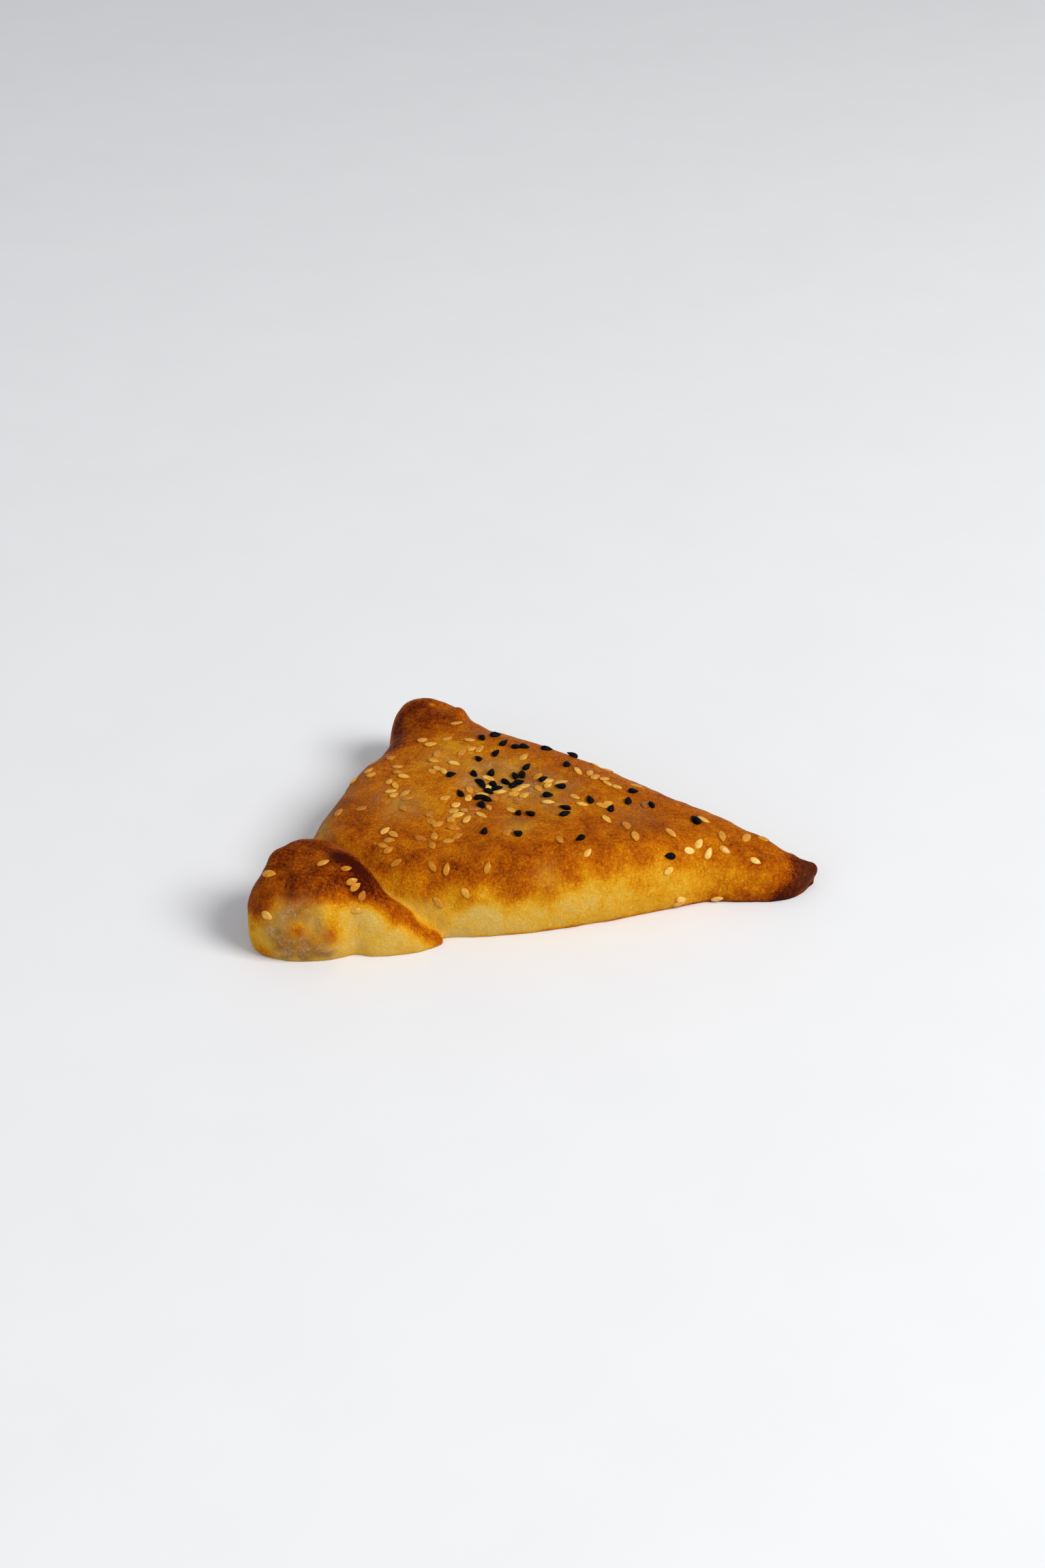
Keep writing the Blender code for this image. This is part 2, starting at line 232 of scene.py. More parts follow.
# Seeds: (u, v, the angle its point is turned to, how toasted it is, its size beside the usual). The angle
# is in degrees, anticlockwise from the right, and what a row leaves out is as in USUAL.
USUAL = [0.0, 1.0]
SESAME = (
    (670, 1061, 10, 0.3), (620, 1086, 20, 0.25), (656, 1084, 15, 0.35), (689, 1086, 2, 0.25),
    (632, 1092, 12, 0.2), (692, 1099, 20, 0.2), (704, 1099, 45, 0.3), (678, 1104, 30, 0.4),
    (641, 1106, 60, 0.35), (574, 1112, 25, 0.5), (636, 1116, -10, 0.25), (666, 1120, -10, 0.05),
    (584, 1125, 10, 0.3), (584, 1133, 0, 0.45), (592, 1139, -3, 0.2), (571, 1147, 60, 0.25),
    (580, 1153, -60, 0.25), (574, 1161, 10, 0.15), (578, 1167, 30, 0.2), (594, 1164, 25, 0.35),
    (598, 1171, 10, 0.5), (634, 1132, -40, 0.35), (642, 1128, -20, 0.2), (651, 1132, -50, 0.2),
    (716, 1142, -20, 0.1), (717, 1155, 40, 0.0), (733, 1162, 3, 0.05), (699, 1159, 10, 0.55),
    (689, 1159, -60, 0.3), (687, 1171, 70, 0.1), (708, 1166, 0, 0.15), (740, 1169, 20, 0.5),
    (653, 1171, 15, 0.3), (669, 1181, 30, 0.15), (665, 1190, 8, 0.3), (681, 1189, -35, 0.35),
    (672, 1196, 15, 0.1), (662, 1202, 40, 0.4), (685, 1202, 50, 0.15), (696, 1187, 5, 0.6),
    (706, 1196, -20, 0.15), (717, 1185, -60, 0.35), (725, 1171, -50, 0.5), (591, 1186, -50, 0.45),
    (630, 1194, 50, 0.45), (633, 1206, -40, 0.4), (643, 1209, 20, 0.4), (666, 1215, 0, 0.5),
    (637, 1227, 90, 0.35), (671, 1227, 30, 0.45), (658, 1234, 10, 0.4), (634, 1241, -60, 0.4),
    (617, 1230, -10, 0.6), (565, 1219, 40, 0.1), (577, 1224, -35, 0.3), (571, 1233, -5, 0.35),
    (562, 1241, -10, 0.4), (570, 1247, 40, 0.45), (750, 1189, -25, 0.25), (744, 1221, 30, 0.5),
    (768, 1111, 35, 0.2), (848, 1132, -45, 0.15), (789, 1139, 30, 0.45), (769, 1154, 10, 0.1),
    (758, 1159, 5, 0.15), (754, 1165, 8, 0.25), (769, 1167, 30, 0.2), (790, 1157, -35, 0.3),
    (804, 1152, 45, 0.15), (804, 1146, 10, 0.15), (823, 1148, 5, 0.15), (804, 1177, -5, 0.05),
    (760, 1173, 0, 0.55), (762, 1177, 5, 0.6), (818, 1181, 0, 0.5), (843, 1169, -25, 0.25),
    (854, 1180, -10, 0.15), (883, 1182, -25, 0.3), (892, 1179, 20, 0.3), (890, 1202, -35, 0.15),
    (873, 1123, -15, 0.3), (890, 1130, -10, 0.3), (865, 1134, 60, 0.3), (873, 1140, 20, 0.3),
    (887, 1143, 10, 0.25), (892, 1150, -20, 0.2), (905, 1155, -15, 0.2), (933, 1153, -20, 0.35),
    (821, 1232, -55, 0.45), (862, 1251, 50, 0.2), (919, 1211, -70, 0.5, 1.25),
    (932, 1227, -80, 0.35, 1.2), (984, 1222, -45, 0.25, 1.1), (947, 1180, 75, 0.75, 1.3),
    (1032, 1203, -20, 0.1), (1011, 1248, -10, 0.0), (1025, 1238, 60, 0.1, 1.05),
    (1039, 1252, 65, 0.1, 1.15), (1059, 1227, -80, 0.35, 1.25), (1063, 1247, -30, 0.3, 1.1),
    (1095, 1229, 50, 0.3, 1.2), (1120, 1231, -20, 0.4), (1108, 1263, -25, 0.05), (981, 1277, 35, 0.1),
    (999, 1319, -10, 0.05), (996, 1325, 20, 0.2), (1052, 1318, 8, 0.0), (545, 1137, 30, 0.25),
    (541, 1131, 25, 0.3), (518, 1145, 45, 0.2), (497, 1192, 50, 0.45), (531, 1186, 20, 0.55),
    (581, 1266, 35, 0.5), (634, 1271, -60, 0.5), (655, 1275, 80, 0.42, 0.95), (715, 1273, 75, 0.4),
    (474, 1266, 22, 0.25, 1.08), (508, 1274, 3, 0.52, 0.96), (516, 1293, 20, 0.42, 0.88),
    (521, 1301, 35, 0.42, 0.88), (531, 1314, 65, 0.5, 0.9), (522, 1335, -10, 0.2, 0.92),
    (395, 1282, 3, 0.3, 1.1), (392, 1343, -35, 0.1), (683, 1310, -60, 0.25), (643, 1324, -45, 0.35),
)
NIGELLA = (
    (706, 1083, 130), (727, 1080, 5), (739, 1091, 25), (728, 1106, 50), (701, 1114, 135),
    (721, 1134, 70), (696, 1137, -45), (662, 1138, 12), (755, 1139, 115), (703, 1148, 150),
    (708, 1154, -60), (743, 1149, -30), (754, 1153, 25), (724, 1153, -35), (730, 1158, 10),
    (717, 1163, -25), (675, 1165, 130), (704, 1171, 10), (715, 1174, -20), (707, 1183, -55),
    (711, 1220, 65), (759, 1224, 150), (758, 1097, 0), (769, 1097, -10), (802, 1100, -8),
    (840, 1108, 160), (831, 1122, 75), (773, 1126, 40), (766, 1137, 100), (762, 1149, 15),
    (797, 1144, 25), (822, 1155, 172), (804, 1168, 0), (865, 1174, 115), (829, 1186, 170),
    (829, 1195, 15), (761, 1194, 60), (777, 1195, 160), (929, 1162, 0), (921, 1176, 80),
    (896, 1187, 60), (851, 1231, 200), (956, 1183, -50), (1020, 1204, 130, 0.0, 1.3), (982, 1256, 175),
)
SESAME_SIZE = (3.6, 1.95, 0.9)  # length, width, thickness
NIGELLA_SIZE = (3.35, 1.9, 1.5)
SIZE_SPREAD = 0.13  # the most a size is above or below the usual, as a share
SESAME_SUNK = 0.36  # share of its thickness
NIGELLA_SUNK = 0.2
TOAST_SINKS = 0.22  # share of its thickness that a fully toasted seed lies deeper
SEED_TILT = math.radians(7)  # the most that a seed leans, each way
SEED_RINGS = 13
RING_POINTS = 18
SESAME_TONES = (
    (0.0, (0.80, 0.51, 0.14)), (0.25, (0.63, 0.31, 0.028)), (0.55, (0.47, 0.158, 0.003)),
    (1.0, (0.18, 0.034, 0.002)),
)
SESAME_BROWN = 0.07  # added to how toasted it is, as are the next three
SESAME_CLOUDED = 0.7
SESAME_SPECKED = 0.2
# darkens each seed towards its edges: partly a toasted, glazed rim, partly painted shade where it sits in
# the crust
SESAME_RIM_TOAST_AND_SHADE = 0.12
SESAME_RIM = (0.25, 0.9)  # how near to its edge its rim begins and is whole
NIGELLA_TONES = ((0.001, 0.0009, 0.001, 1), (0.003, 0.0022, 0.002, 1))

# Seeds scattered where the camera sees none: the most of each kind, if they fit
HIDDEN_SESAME = 16
HIDDEN_NIGELLA = 3
HIDDEN_TRIES = 6000
HIDDEN_GAP = 6.5  # to the next seed
HIDDEN_STEEPEST = 0.25  # how much the crust has to face up
HIDDEN_TOASTED = (0.05, 0.5)
HIDDEN_CLIMB = 0.01  # of the direction its point is turned to, before it is laid on the crust
HIDDEN_RISE = 1.9  # how far over and beside a hidden seed's place it has to be out of sight too
AROUND = ((0, 0, 0), (1, 0, 0), (-1, 0, 0), (0, 1, 0), (0, -1, 0))

# Studio
SKY_COLOUR = (0.95, 0.97, 1.0, 1)
SKY_STRENGTH = 0.42
FLOOR_REACH = 4  # metres
FLOOR_TONES = ((0.77, 0.78, 0.80, 1), (0.80, 0.81, 0.83, 1))


def smoothstep(low, high, value):
    """0 at low, 1 at high, smooth between."""
    t = np.clip((value - low) / (high - low), 0, 1)
    return t * t * (3 - 2 * t)


def blend(a, b, share):
    return a * (1 - share) + b * share


def added(name, data):
    """A new object in the scene."""
    obj = bpy.data.objects.new(name, data)
    bpy.context.scene.collection.objects.link(obj)
    return obj


def pixel_ray(u, v):
    """The direction in which the camera sees a pixel."""
    focal = LENS / SENSOR * max(IMAGE_SIZE)
    ahead = Vector((0, math.cos(CAMERA_DOWN), -math.sin(CAMERA_DOWN)))
    above = Vector((0, math.sin(CAMERA_DOWN), math.cos(CAMERA_DOWN)))
    side = Vector((1, 0, 0))
    across, down = u - IMAGE_SIZE[0] / 2, v - IMAGE_SIZE[1] / 2
    return (ahead * focal + side * across - above * down).normalized()


def seen_at(tree, u, v):
    """The point of the crust at a pixel, or at the nearest pixel towards the middle that shows crust."""
    for _ in range(SEARCH_STEPS):
        spot, *_ = tree.ray_cast(CAMERA_AT, pixel_ray(u, v))
        if spot is not None:
            return spot
        away = math.dist((u, v), MIDDLE)
        u, v = u + (MIDDLE[0] - u) / away, v + (MIDDLE[1] - v) / away
    raise ValueError(f"no crust near pixel {u:.0f}, {v:.0f}")


def in_view(tree, spot):
    """Whether the camera sees a point over the crust."""
    sight = spot - CAMERA_AT
    _, _, _, reach = tree.ray_cast(CAMERA_AT, sight.normalized())
    return reach is None or reach > sight.length - MM


def skin_tree(mesh):
    return BVHTree.FromPolygons([v.co for v in mesh.vertices], [p.vertices for p in mesh.polygons])


def mesh_arrays(mesh):
    """The points of a mesh and their normals."""
    spots = np.empty(len(mesh.vertices) * 3)
    mesh.vertices.foreach_get("co", spots)
    normals = np.empty(len(mesh.vertices) * 3)
    mesh.vertex_normals.foreach_get("vector", normals)
    return spots.reshape(-1, 3), normals.reshape(-1, 3)


def put_back(mesh, spots):
    mesh.vertices.foreach_set("co", spots.ravel())
    mesh.update()


def write_on_points(mesh, **named):
    """Writes named values on the points of a mesh, for its material."""
    for name, values in named.items():
        made = mesh.attributes.new(name, "FLOAT", "POINT")
        made.data.foreach_set("value", np.asarray(values, np.float32))


def wavy(in_mm, wavelength):
    """Smooth noise from about -1 to 1 at points."""
    scaled = in_mm / wavelength + wavelength
    return np.array([noise.noise(p) for p in scaled.tolist()]) * NOISE_GAIN


def smoothed(mesh, spots, passes):
    """The points, with each drawn halfway towards the mean of its neighbours."""
    edges = np.empty(len(mesh.edges) * 2, int)
    mesh.edges.foreach_get("vertices", edges)
    a, b = edges.reshape(-1, 2).T
    size = len(spots)
    count = np.bincount(a, minlength=size) + np.bincount(b, minlength=size)
    for _ in range(passes):
        total = np.zeros_like(spots)
        for axis in range(3):
            total[:, axis] = np.bincount(a, spots[b, axis], size) + np.bincount(b, spots[a, axis], size)
        spots = 0.5 * spots + 0.5 * total / count[:, None]
    return spots


def from_crease(in_mm):
    """The distance of points from the crease, in plan: more than 0 on the lobe's side."""
    plan = in_mm[:, :2]
    nearest = np.full(len(plan), np.inf)
    signed = np.zeros(len(plan))
    ends = np.array(CREASE, float)
    for start, end in zip(ends, ends[1:]):
        run = end - start
        share = np.clip(((plan - start) @ run) / (run @ run), 0, 1)
        off = plan - start - share[:, None] * run
        away = np.linalg.norm(off, axis=1)
        closer = away < nearest
        nearest[closer] = away[closer]
        signed[closer] = (np.sign(run[1] * off[:, 0] - run[0] * off[:, 1]) * away)[closer]
    return signed


def blob_sum(spots, tree, blobs):
    """The sum over named places of an amount that fades with distance from each."""
    total = np.zeros(len(spots))
    for u, v, radius, amount in blobs:
        away = np.linalg.norm(spots - np.array(seen_at(tree, u, v)), axis=1) / (radius * MM)
        total += amount * np.exp(-away**2)
    return total


def banded(values, spots, tree, bands):
    """The values, brought along each named line to what the line reaches."""
    for pixels, width, reached in bands:
        squared = np.full(len(spots), np.inf)
        for (u0, v0), (u1, v1) in zip(pixels, pixels[1:]):
            for share in np.linspace(0, 1, BAND_STEPS):
                point = np.array(seen_at(tree, u0 + (u1 - u0) * share, v0 + (v1 - v0) * share))
                squared = np.minimum(squared, ((spots - point) ** 2).sum(axis=1))
        values = values + (reached - values) * np.exp(-squared / (width * MM) ** 2)
    return values


def line_height(tree, pixels, x):
    """The height of a line of pixels on the crust, by the distance along X."""
    line = sorted((spot.x / MM, spot.z / MM) for spot in (seen_at(tree, u, v) for u, v in pixels))
    return np.interp(x, *zip(*line))


def skin_over(node):
    """A fine, smoothed skin over a CAD node, as a new object."""
    obj = added("crust", node.data.copy())
    remesh = obj.modifiers.new("skin", "REMESH")
    remesh.mode = "VOXEL"
    remesh.voxel_size = SKIN_GRAIN * MM
    mesh = bpy.data.meshes.new_from_object(obj.evaluated_get(bpy.context.evaluated_depsgraph_get()))
    mesh.name = "crust"
    obj.modifiers.clear()
    obj.data = mesh
    spots, _ = mesh_arrays(mesh)
    put_back(mesh, smoothed(mesh, spots, SMOOTH_PASSES))
    for face in mesh.polygons:
        face.use_smooth = True
    return obj


def shape_crust(mesh):
    """Gives the skin a sharper crease, a wrinkled tip, swells and dents, and a flat underside."""
    spots, normals = mesh_arrays(mesh)
    in_mm = spots / MM
    groove = np.exp(-(((from_crease(in_mm) + CREASE_SHIFT) / CREASE_WIDTH) ** 2))
    rise = -CREASE_DEPTH * groove * smoothstep(*CREASE_FACING, normals[:, 2])
    wavelength, crinkle = CRINKLE
    to_tip = np.linalg.norm(in_mm - TIP, axis=1)
    rise += crinkle * wavy(in_mm, wavelength) * smoothstep(CRINKLE_REACH, 0, to_tip)
    for wavelength, swell in SWELLS:
        rise += swell * wavy(in_mm, wavelength)
    rise += blob_sum(spots, skin_tree(mesh), DENTS)
    spots = spots + normals * (rise * MM)[:, None]
    flat = smoothstep(*UNDERSIDE, in_mm[:, 2])
    spots[:, 2] = np.maximum(spots[:, 2] * (1 - flat), 0)
    put_back(mesh, spots)


def pale_share(tree, in_mm, normals, lobe, uneven):
    """How far each point lies below the upper edge of the pale dough, from 0 to 1."""
    x, _, z = in_mm.T
    front = smoothstep(*FRONT_FACING, -normals[:, 1])
    line = blend(line_height(tree, BODY_LINE, x), line_height(tree, LOBE_LINE, x), lobe)
    edge = blend(EDGE_HEIGHT, line, front) - EDGE_SINKS * smoothstep(*TIP_ENDS, x)
    return smoothstep(1, -1, (z - edge + np.dot(EDGE_UNEVEN, uneven)) / blend(*FADE, lobe))


def paint(mesh):
    """Writes how browned and how floury each point of the crust is."""
    tree = skin_tree(mesh)
    spots, normals = mesh_arrays(mesh)
    in_mm = spots / MM
    x, _, z = in_mm.T
    uneven = np.array([wavy(in_mm, wavelength) for wavelength in WAVELENGTHS])
    crease = from_crease(in_mm)
    lobe = smoothstep(*LOBE_EDGE, crease)
    top = TOP_BROWN + np.dot(TOP_UNEVEN, uneven)
    low = np.interp(x, LOW_ENDS, LOW_BROWN) + np.dot(LOW_UNEVEN, uneven)
    plain = blend(top, low, pale_share(tree, in_mm, normals, lobe, uneven))
    body = banded(plain + blob_sum(spots, tree, BODY_PALER + BODY_BROWNER_AND_SHADED), spots, tree, BODY_BANDS)
    strip = np.exp(-(((crease + STRIP_OFF) / STRIP_WIDTH) ** 2)) * smoothstep(*STRIP_ENDS, x)
    strip *= STRIP_SHARE
    body = blend(body, STRIP_BROWN, strip)
    wrapped = banded(plain + blob_sum(spots, tree, LOBE_PATCHES), spots, tree, LOBE_BANDS)
    rim = np.interp(x, RIM_ENDS, RIM_BROWN) * smoothstep(*RIM_HEIGHTS, z) * (1 + np.dot(RIM_UNEVEN, uneven))
    browning = blend(body, wrapped, lobe) + rim
    body_flour = blob_sum(spots, tree, BODY_FLOUR) + STRIP_FLOUR * strip
    flour = blend(body_flour, blob_sum(spots, tree, LOBE_FLOUR), lobe) * (1 + np.dot(FLOUR_UNEVEN, uneven))
    write_on_points(mesh, browning=np.clip(browning, 0, BURNT), flour=np.clip(flour, 0, BURNT))


def signed_power(value, power):
    return np.sign(value) * np.abs(value) ** power


def uneven_sizes(sizes, dice):
    return [size * (1 + SIZE_SPREAD * dice.uniform(-1, 1)) for size in sizes]


def ring_at(x, y, z):
    return np.stack([np.full(RING_POINTS, x), y, z], axis=1)


def sesame_shape(sizes, dice):
    """A flat teardrop seed with a faint rim: rings of points from its blunt end to its point, x along it."""
    lean, full = 0.84, 0.66  # under 1: widest before its middle, and fuller than a sine's arch
    side, face = 0.95, 0.8  # under 1: squarer than an ellipse across
    dish, rim = 0.22, 1.5  # how hollow its faces are, and how sharp the rim around them is
    flat = 0.75  # under 1: its thickness narrows more slowly than its width
    length, width, thick = uneven_sizes(sizes, dice)
    turn = np.linspace(0, 2 * np.pi, RING_POINTS, endpoint=False)
    dished = 1 - dish * (1 - np.abs(np.cos(turn)) ** rim)
    rings = []
    for share in np.linspace(0.012, 0.985, SEED_RINGS):
        wide = np.sin(np.pi * share**lean) ** full
        y = signed_power(np.cos(turn), side) * width / 2 * wide
        z = signed_power(np.sin(turn), face) * thick / 2 * wide**flat
        rings.append(ring_at(length * (share - 0.5), y, z * dished))
    return rings


def nigella_shape(sizes, dice):
    """An angular seed, three-sided across, that runs out to a point."""
    lean, full = 0.66, 0.85  # as in a sesame seed
    slim = 0.85  # brings its corners back inside its width
    uneven = 0.035  # how much a point lies in or out of its place, as a share
    length, width, thick = uneven_sizes(sizes, dice)
    turn = np.linspace(0, 2 * np.pi, RING_POINTS, endpoint=False)
    roll = dice.uniform(0, 2 * np.pi)
    facet = (turn + roll) % (2 * np.pi / 3) - np.pi / 3
    bulge = slim / np.cos(facet) ** 0.5
    rings = []
    for share in np.linspace(0.015, 0.985, SEED_RINGS):
        wide = np.sin(np.pi * share**lean) ** full
        rough = np.array([dice.uniform(1 - uneven, 1 + uneven) for _ in turn])
        y = np.cos(turn) * width / 2 * wide * bulge * rough
        z = np.sin(turn) * thick / 2 * wide * bulge * rough
        rings.append(ring_at(length * (share - 0.5), y, z))
    return rings


def seed_place(tree, spot, along, thick, sunk, dice):
    """Where a seed lies on the crust, its point turned along."""
    sideways = along.orthogonal().normalized() * MM
    across = along.normalized().cross(sideways.normalized()) * MM
    normal = Vector((0, 0, 0))
    for near in (spot, spot + sideways, spot - sideways, spot + across, spot - across):
        normal += tree.find_nearest(near)[1]
    normal.normalize()
    ahead = (along - normal * along.dot(normal)).normalized()
    turned = Matrix((ahead, normal.cross(ahead), normal)).transposed().to_4x4()
    roll, pitch = (Matrix.Rotation(SEED_TILT * dice.uniform(-1, 1), 4, axis) for axis in "XY")
    return Matrix.Translation(spot + normal * thick * MM * (0.5 - sunk)) @ turned @ (roll @ pitch)


def towards(tree, spot, u, v, angle):
    """The direction on the crust that the camera sees at the angle."""
    grazing = 0.25  # crust that faces the camera less than this isn't followed
    normal = tree.find_nearest(spot)[1]
    turn = math.radians(angle)
    here = pixel_ray(u, v)
    ray = pixel_ray(u + math.cos(turn), v - math.sin(turn))
    flat = (ray - here) * (spot - CAMERA_AT).length
    facing = here.dot(normal)
    if abs(facing) > grazing:
        flat -= here * (flat.dot(normal) / facing)
    return flat.normalized()


def hidden_spots(tree, box, taken, most, dice):
    """Random places that the camera doesn't see, clear of those taken, found one after the other."""
    low, high = box
    for _ in range(HIDDEN_TRIES):
        if not most:
            return
        above = Vector((dice.uniform(low[0], high[0]), dice.uniform(low[1], high[1]), high[2] + MM))
        spot, normal, *_ = tree.ray_cast(above, Vector((0, 0, -1)))
        if spot is None or normal.z < HIDDEN_STEEPEST:
            continue
        if min((spot - other).length for other in taken) < HIDDEN_GAP * MM:
            continue
        over = spot + normal * HIDDEN_RISE * MM
        if any(in_view(tree, over + Vector(step) * HIDDEN_RISE * MM) for step in AROUND):
            continue
        taken.append(spot)
        most -= 1
        yield spot


class SeedMesh:
    """The joined mesh of a kind's seeds; its points know how toasted and how near to an edge they are."""

    def __init__(self):
        self.verts, self.faces, self.toasting, self.edge = [], [], [], []

    def add(self, place, rings, toasted):
        """Closes the rings of a seed to a skin, capped at both ends."""
        start, count = len(self.verts), RING_POINTS
        for ring in rings:
            self.verts.extend(place @ Vector(point * MM) for point in ring)
        end = len(self.verts)
        for low in range(start, end - count, count):
            for i in range(count):
                j = (i + 1) % count
                self.faces.append((low + i, low + j, low + count + j, low + count + i))
        self.faces.append(tuple(range(start + count - 1, start - 1, -1)))
        self.faces.append(tuple(range(end - count, end)))
        self.toasting.extend([toasted] * (end - start))
        up = np.concatenate(rings)[:, 2]
        self.edge.extend(1 - np.clip(up / up.max(), 0, 1))

    def finish(self, name, material):
        mesh = bpy.data.meshes.new(name)
        mesh.from_pydata(self.verts, [], self.faces)
        mesh.update()
        mesh.materials.append(material)
        write_on_points(mesh, toasting=self.toasting, edge=self.edge)
        for face in mesh.polygons:
            face.use_smooth = len(face.vertices) == 4
        return added(name, mesh)


class SeedKind(NamedTuple):
    """What the seeds of a kind share."""

    name: str
    listed: tuple
    hidden: int
    size: tuple
    sunk: float
    shape: Callable
    material: Callable


def seeds(tree, box, kind):
    """All the seeds of a kind: those listed, and the hidden ones scattered in the box."""
    dice = random.Random(SEED + len(kind.listed))
    made = SeedMesh()
    thick = kind.size[2]
    taken = []
    for u, v, angle, *rest in kind.listed:
        toasted, size = rest + USUAL[len(rest):]
        spot = seen_at(tree, u, v)
        along = towards(tree, spot, u, v, angle)
        place = seed_place(tree, spot, along, thick, kind.sunk + TOAST_SINKS * toasted, dice)
        made.add(place, [ring * size for ring in kind.shape(kind.size, dice)], toasted)
        taken.append(spot)
    for spot in hidden_spots(tree, box, taken, kind.hidden, dice):
        turn = dice.uniform(0, 2 * math.pi)
        along = Vector((math.cos(turn), math.sin(turn), HIDDEN_CLIMB))
        place = seed_place(tree, spot, along, thick, kind.sunk, dice)
        toasted = dice.uniform(*HIDDEN_TOASTED)
        made.add(place, kind.shape(kind.size, dice), toasted)
    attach(made.finish(kind.name, kind.material()), "root")


class Nodes:
    """A material's nodes, made and joined in short lines."""

    def __init__(self, name):
        self.material = bpy.data.materials.new(name)
        self.material.use_nodes = True
        self.tree = self.material.node_tree
        self.surface = self.tree.nodes["Principled BSDF"]
        self.place = self.tree.nodes.new("ShaderNodeTexCoord").outputs["Object"]

    def fill(self, socket, value):
        if isinstance(value, bpy.types.NodeSocket):
            self.tree.links.new(value, socket)
        else:
            socket.default_value = value

    def give(self, **values):
        """Fills inputs of the surface, named with _ for a space."""
        for name, value in values.items():
            self.fill(self.surface.inputs[name.replace("_", " ")], value)

    def make(self, kind, inputs=(), **settings):
        node = self.tree.nodes.new(kind)
        for key, value in settings.items():
            setattr(node, key, value)
        for key, value in dict(inputs).items():
            self.fill(node.inputs[key], value)
        return node

    def noise(self, scale, detail, roughness=0.55, distortion=0.0, squeeze=(1, 1, 1)):
        """Noise at a scale per metre; squeeze under 1 draws it out along an axis."""
        place = self.make("ShaderNodeMapping", {"Vector": self.place, "Scale": squeeze}).outputs["Vector"]
        inputs = {"Vector": place, "Scale": scale, "Detail": detail, "Roughness": roughness,
                  "Distortion": distortion}
        return self.make("ShaderNodeTexNoise", inputs).outputs["Fac"]

    def chain(self, operation, values):
        total, *rest = values
        for value in rest:
            total = self.make("ShaderNodeMath", {0: total, 1: value}, operation=operation).outputs[0]
        return total

    def add(self, *values):
        return self.chain("ADD", values)

    def times(self, *values):
        return self.chain("MULTIPLY", values)

    def about(self, value, amount):
        """Noise turned into a change of up to plus or minus half the amount."""
        return self.times(self.add(value, -0.5), amount)

    def attribute(self, name):
        return self.make("ShaderNodeAttribute", attribute_name=name).outputs["Fac"]

    def between(self, value, low, high):
        """0 at low, 1 at high, smooth between."""
        node = self.make("ShaderNodeMapRange", {"Value": value, "From Min": low, "From Max": high},
                         interpolation_type="SMOOTHSTEP")
        return node.outputs["Result"]

    def mix(self, share, a, b):
        node = self.make("ShaderNodeMix", data_type="RGBA")
        for socket, value in ((node.inputs[0], share), (node.inputs[6], a), (node.inputs[7], b)):
            self.fill(socket, value)
        return node.outputs[2]

    def ramp(self, value, tones):
        node = self.make("ShaderNodeValToRGB", {"Fac": value})
        stops = node.color_ramp.elements
        while len(stops) < len(tones):
            stops.new(0.5)
        for stop, (at, colour) in zip(stops, tones):
            stop.position = at
            stop.color = (*colour, 1)
        return node.outputs["Color"]

    def bump(self, height, distance, strength):
        """Relief as deep as distance, in mm."""
        inputs = {"Strength": strength, "Distance": distance * MM, "Height": height}
        self.give(Normal=self.make("ShaderNodeBump", inputs).outputs["Normal"])


def crust_material():
    """Mottled baked dough with small pale flecks, flour lying on it and a fine relief."""
    n = Nodes("baked_crust")
    noises = {}
    for name, grain in GRAINS.items():
        noises[name] = n.noise(grain.scale, grain.detail, grain.roughness, grain.distortion, grain.squeeze)

    def uneven(change):
        """The sum of the noises, each with the amount that its grain has for a change."""
        amounts = {name: getattr(grain, change) for name, grain in GRAINS.items()}
        return n.add(*(n.about(noises[name], amount) for name, amount in amounts.items() if amount))

    painted = n.attribute("browning")
    calm = n.add(PALE_CALM, n.times(n.between(painted, *CALM_ENDS), 1 - PALE_CALM))
    browning = n.add(painted, n.times(uneven("browning"), calm))
    fleck = n.times(
        n.between(noises["speck"], *FLECK_SPECKS), n.between(noises["cloud"], *FLECK_CLOUDS),
        n.between(browning, *FLECK_FADE), FLECK_STRENGTH,
    )
    baked = n.mix(fleck, n.ramp(browning, CRUST_TONES), FLECK_COLOUR)
    cover = n.times(n.attribute("flour"), n.add(FLOUR_COVER, uneven("cover")))
    flour = n.ramp(n.add(FLOUR_TONE, uneven("dust")), FLOUR_TONES)
    roughness = n.add(CRUST_ROUGHNESS, n.about(noises["grain"], ROUGHNESS_SPREAD))
    n.give(Base_Color=n.mix(cover, baked, flour), Roughness=roughness, IOR=1.3, Specular_IOR_Level=0.03)
    n.bump(uneven("relief"), distance=0.6, strength=0.8)
    return n.material


def sesame_material():
    """Pale seeds, browner where toasted and in specks, and darker at their edges: toasting and painted
    contact shade.
    """
    n = Nodes("sesame")
    cloud = n.about(n.noise(900, 3), SESAME_CLOUDED)
    speck = n.about(n.noise(4000, 2), SESAME_SPECKED)
    # darker towards the edges: partly a toasted rim, partly painted contact shade
    rim = n.times(n.between(n.attribute("edge"), *SESAME_RIM), SESAME_RIM_TOAST_AND_SHADE)
    tone = n.add(n.attribute("toasting"), SESAME_BROWN, cloud, speck, rim)
    n.give(Base_Color=n.ramp(tone, SESAME_TONES), Roughness=0.24, Specular_IOR_Level=0.3)
    n.bump(n.noise(2600, 2), distance=0.12, strength=0.5)
    return n.material


def nigella_material():
    n = Nodes("nigella")
    n.give(Base_Color=n.mix(n.noise(1500, 2), *NIGELLA_TONES), Roughness=0.4, Specular_IOR_Level=0.05)
    n.bump(n.noise(3600, 2), distance=0.18, strength=0.8)
    return n.material


def floor_material():
    n = Nodes("pale_floor")
    n.give(Base_Color=n.mix(n.noise(30, 2), *FLOOR_TONES), Roughness=0.6, Specular_IOR_Level=0.2)
    return n.material


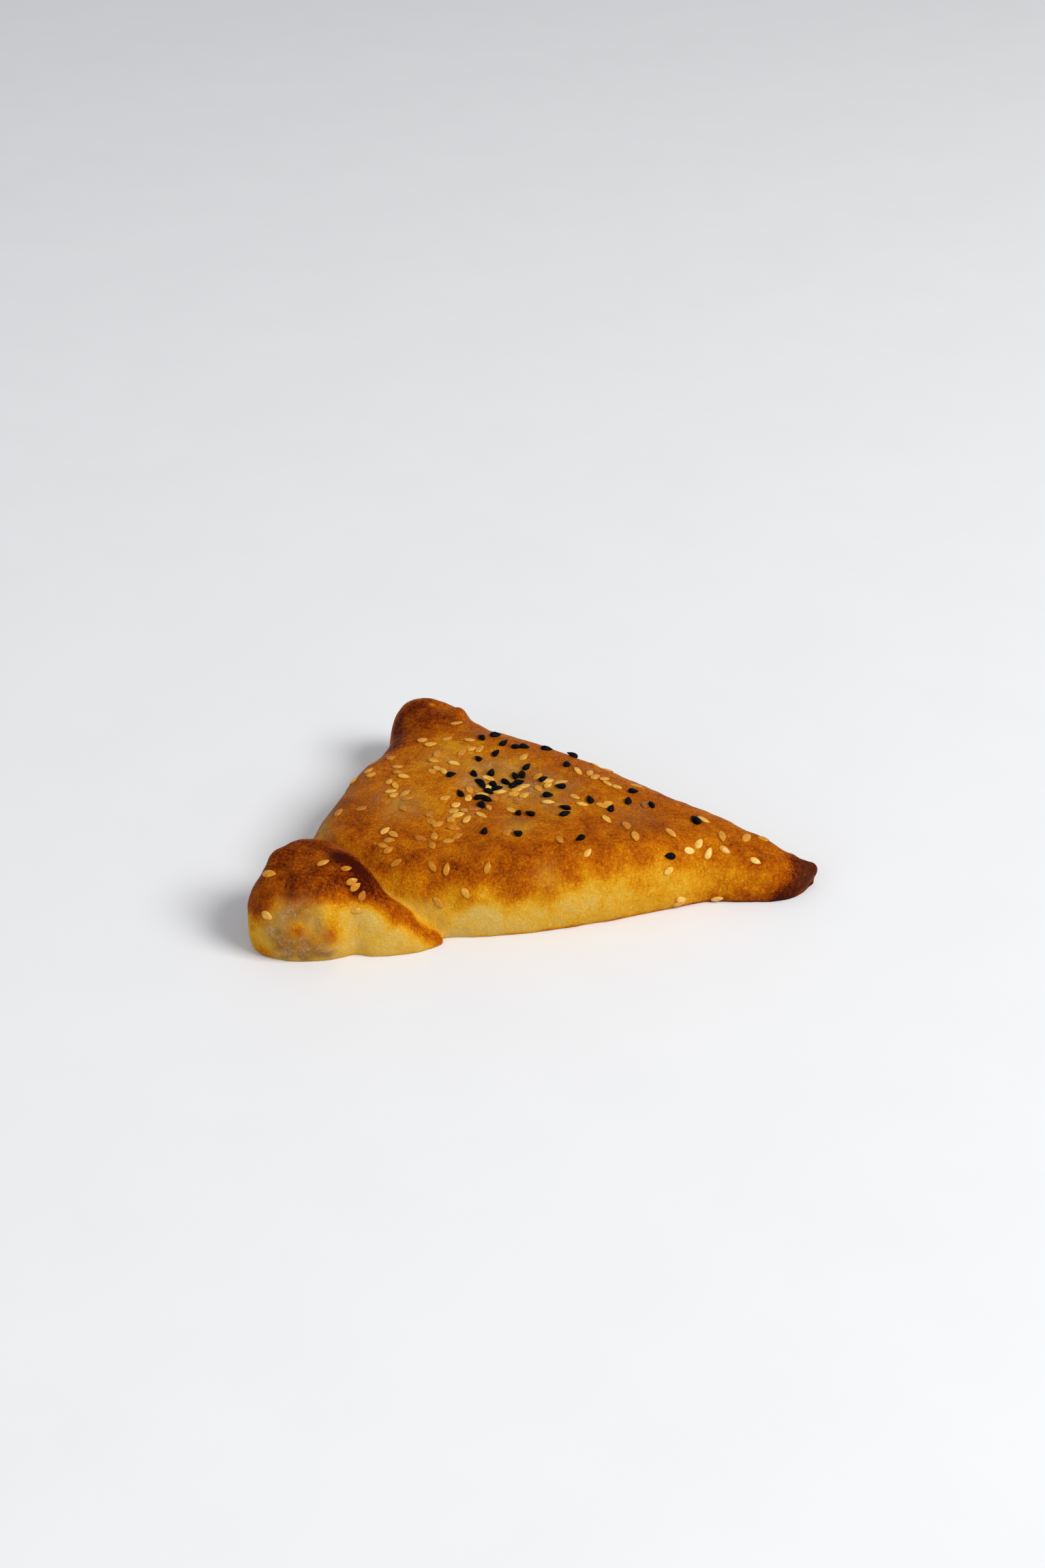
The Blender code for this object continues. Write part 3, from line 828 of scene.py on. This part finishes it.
def floor():
    made = bmesh.new()
    bmesh.ops.create_grid(made, x_segments=1, y_segments=1, size=FLOOR_REACH)
    mesh = bpy.data.meshes.new("floor")
    made.to_mesh(mesh)
    made.free()
    mesh.materials.append(floor_material())
    added("floor", mesh)


def lamp(name, at, energy, size, colour):
    """An area light that points at the pastry; its place and size are in metres."""
    light = bpy.data.lights.new(name, "AREA")
    light.energy = energy
    light.size = size
    light.color = colour
    obj = added(name, light)
    obj.location = at
    obj.rotation_euler = (-Vector(at)).to_track_quat("-Z", "Y").to_euler()


def studio():
    """An even pale sky, a large key light from the right and a weak fill from the left."""
    scene = bpy.context.scene
    scene.view_settings.view_transform = "Standard"
    scene.world = bpy.data.worlds.new("studio")
    scene.world.use_nodes = True
    sky = scene.world.node_tree.nodes["Background"]
    sky.inputs["Color"].default_value = SKY_COLOUR
    sky.inputs["Strength"].default_value = SKY_STRENGTH
    lamp("key", at=(1.5, -0.75, 1.5), energy=50.0, size=1.0, colour=(1.0, 0.98, 0.95))
    lamp("fill", at=(-1.4, -1.4, 1.2), energy=9.0, size=1.6, colour=(0.96, 0.98, 1.0))


def camera():
    made = added("camera", bpy.data.cameras.new("camera"))
    made.location = CAMERA_AT
    made.rotation_euler = (math.pi / 2 - CAMERA_DOWN, 0, 0)
    made.data.lens = LENS
    made.data.sensor_width = SENSOR
    made.data.sensor_height = SENSOR
    made.data.clip_start = CLIP_START * MM
    bpy.context.scene.camera = made


SEED_KINDS = (
    SeedKind(
        name="sesame_seeds", listed=SESAME, hidden=HIDDEN_SESAME, size=SESAME_SIZE, sunk=SESAME_SUNK,
        shape=sesame_shape, material=sesame_material,
    ),
    SeedKind(
        name="nigella_seeds", listed=NIGELLA, hidden=HIDDEN_NIGELLA, size=NIGELLA_SIZE, sunk=NIGELLA_SUNK,
        shape=nigella_shape, material=nigella_material,
    ),
)

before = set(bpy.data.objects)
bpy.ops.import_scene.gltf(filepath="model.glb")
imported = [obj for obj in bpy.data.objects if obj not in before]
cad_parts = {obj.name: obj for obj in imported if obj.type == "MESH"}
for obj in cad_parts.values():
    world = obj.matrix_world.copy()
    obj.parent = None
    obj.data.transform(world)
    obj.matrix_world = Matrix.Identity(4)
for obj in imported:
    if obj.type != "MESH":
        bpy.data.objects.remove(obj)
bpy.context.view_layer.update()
dough_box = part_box("dough")
crust = skin_over(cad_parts["dough"])
shape_crust(crust.data)
paint(crust.data)
crust.data.materials.clear()
crust.data.materials.append(crust_material())
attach(crust, "root")
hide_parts("dough")
crust_tree = skin_tree(crust.data)
for kind in SEED_KINDS:
    seeds(crust_tree, dough_box, kind)
floor()
studio()
camera()
